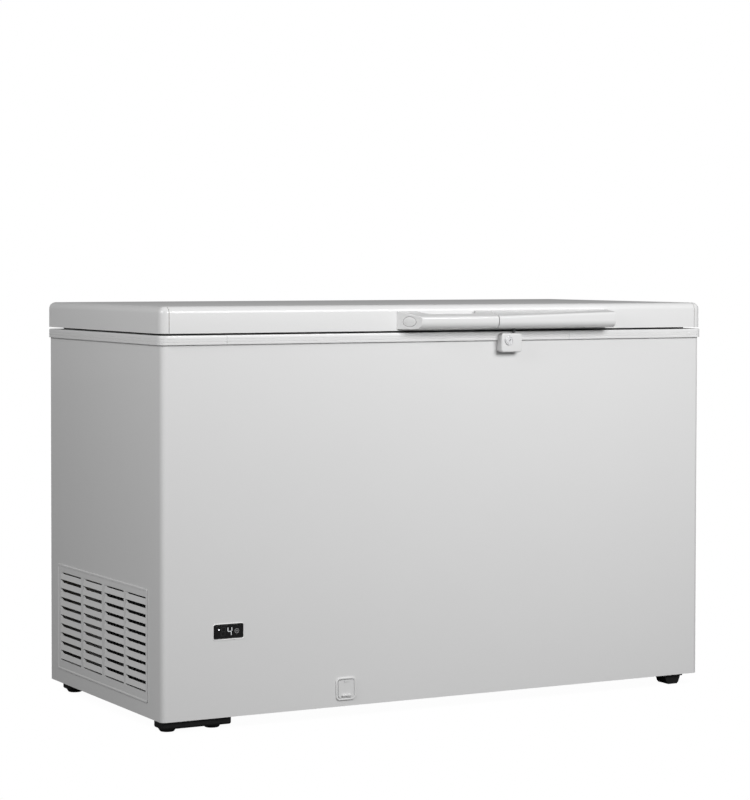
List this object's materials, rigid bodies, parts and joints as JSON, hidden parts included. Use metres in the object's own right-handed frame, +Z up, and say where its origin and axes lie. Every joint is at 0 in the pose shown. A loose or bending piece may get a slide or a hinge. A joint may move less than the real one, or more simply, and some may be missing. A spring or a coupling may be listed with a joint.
{
  "type": "chest freezer",
  "caption": "Low rectangular chest freezer with a hinged lid, bar handle, key lock, slotted side grille, front thermostat and drain, standing on black feet.",
  "frame": {"origin": "on the floor, at the middle of the outline seen from above", "axes": "+X to the right seen from the front, the front with the handle faces -Y, +Z up"},
  "size_m": [1.31, 0.6736, 0.848],
  "materials": {
    "white_steel": "satin",
    "tank_liner": "satin",
    "white_plastic": "satin",
    "handle_plastic": "gloss",
    "drain_plastic": "satin",
    "black_plastic": "matte",
    "display_window": "gloss",
    "control_key": "gloss",
    "seal_rubber": "matte",
    "mount_rubber": "matte",
    "bare_steel": "satin",
    "lock_chrome": "polished",
    "black_enamel": "satin",
    "aluminium_fins": "satin",
    "copper_tube": "satin",
    "foam": "matte",
    "basket_wire": "satin"
  },
  "bodies": {
    "cabinet": {"outer_shell": "white_steel", "rear_panel": "white_steel", "base_plate": "white_steel", "compressor_tray": "bare_steel", "foam_insulation": "foam", "inner_liner": "tank_liner", "evaporator_coil": "copper_tube", "collar_left": "white_plastic", "collar_front": "white_plastic", "collar_rear": "white_plastic", "collar_right": "white_plastic", "foot_rail_front": "black_plastic", "foot_rail_rear": "black_plastic", "foot_front_right": "black_plastic", "foot_rear_right": "black_plastic", "side_grille": "white_plastic", "controller_bezel": "black_plastic", "controller_window": "display_window", "controller_housing": "black_plastic", "drain_bezel": "drain_plastic", "drain_pipe": "drain_plastic", "lock_housing": "white_plastic", "hinge_base_left": "bare_steel", "hinge_base_right": "bare_steel", "hinge_pin_left": "bare_steel", "hinge_pin_right": "bare_steel", "compressor_base": "black_enamel", "compressor_grommet_1": "mount_rubber", "compressor_grommet_2": "mount_rubber", "compressor_grommet_3": "mount_rubber", "compressor_grommet_4": "mount_rubber", "compressor_shell": "black_enamel", "compressor_terminal_box": "black_plastic", "condenser_fins": "aluminium_fins", "condenser_tube": "copper_tube", "fan_shroud": "bare_steel", "fan_motor": "bare_steel", "discharge_line": "copper_tube", "filter_drier": "copper_tube", "cable_gland": "black_plastic"},
    "lid": {"lid_skin": "white_steel", "lid_cap_front_left": "white_plastic", "lid_cap_front_right": "white_plastic", "lid_cap_rear_left": "white_plastic", "lid_cap_rear_right": "white_plastic", "lid_foam": "foam", "lid_liner": "white_plastic", "lid_gasket": "seal_rubber", "handle_grip": "handle_plastic", "handle_guard": "handle_plastic", "handle_plug": "handle_plastic", "lock_keeper": "bare_steel", "hinge_arm_left": "bare_steel", "hinge_arm_right": "bare_steel"},
    "lock_barrel": {"lock_barrel": "lock_chrome"},
    "drain_flap": {"drain_flap": "drain_plastic"},
    "drain_plug": {"drain_plug": "seal_rubber"},
    "fan_rotor": {"fan_rotor": "black_plastic"},
    "controller_key": {"controller_key": "control_key"},
    "basket": {"storage_basket": "basket_wire"}
  },
  "joints": [
    {"name": "lid_hinge", "type": "hinge", "parent": "cabinet", "child": "lid", "pos_m": [0, 0.33025, 0.776], "axis": [-1, 0, 0], "range_deg": [0, 80], "stiffness_Nm_per_rad": 5, "springref_deg": 91.67},
    {"name": "lock_turn", "type": "hinge", "parent": "cabinet", "child": "lock_barrel", "pos_m": [0.142, -0.30975, 0.771], "axis": [0, -1, 0], "range_deg": [0, 90]},
    {"name": "drain_flap_hinge", "type": "hinge", "parent": "cabinet", "child": "drain_flap", "pos_m": [-0.2375, -0.29225, 0.075], "axis": [-1, 0, 0], "range_deg": [0, 90]},
    {"name": "drain_plug_lift", "type": "slide", "parent": "cabinet", "child": "drain_plug", "axis": [0, 0, 1], "range_m": [0, 0.06]},
    {"name": "fan_spin", "type": "hinge", "parent": "cabinet", "child": "fan_rotor", "pos_m": [-0.575, -0.07475, 0.162], "axis": [1, 0, 0], "continuous": true},
    {"name": "key_press", "type": "slide", "parent": "cabinet", "child": "controller_key", "axis": [0, 1, 0], "range_m": [0, 0.0006], "stiffness_N_per_m": 400},
    {"name": "basket_slide", "type": "slide", "parent": "cabinet", "child": "basket", "axis": [1, 0, 0], "range_m": [0, 0.9]}
  ]
}
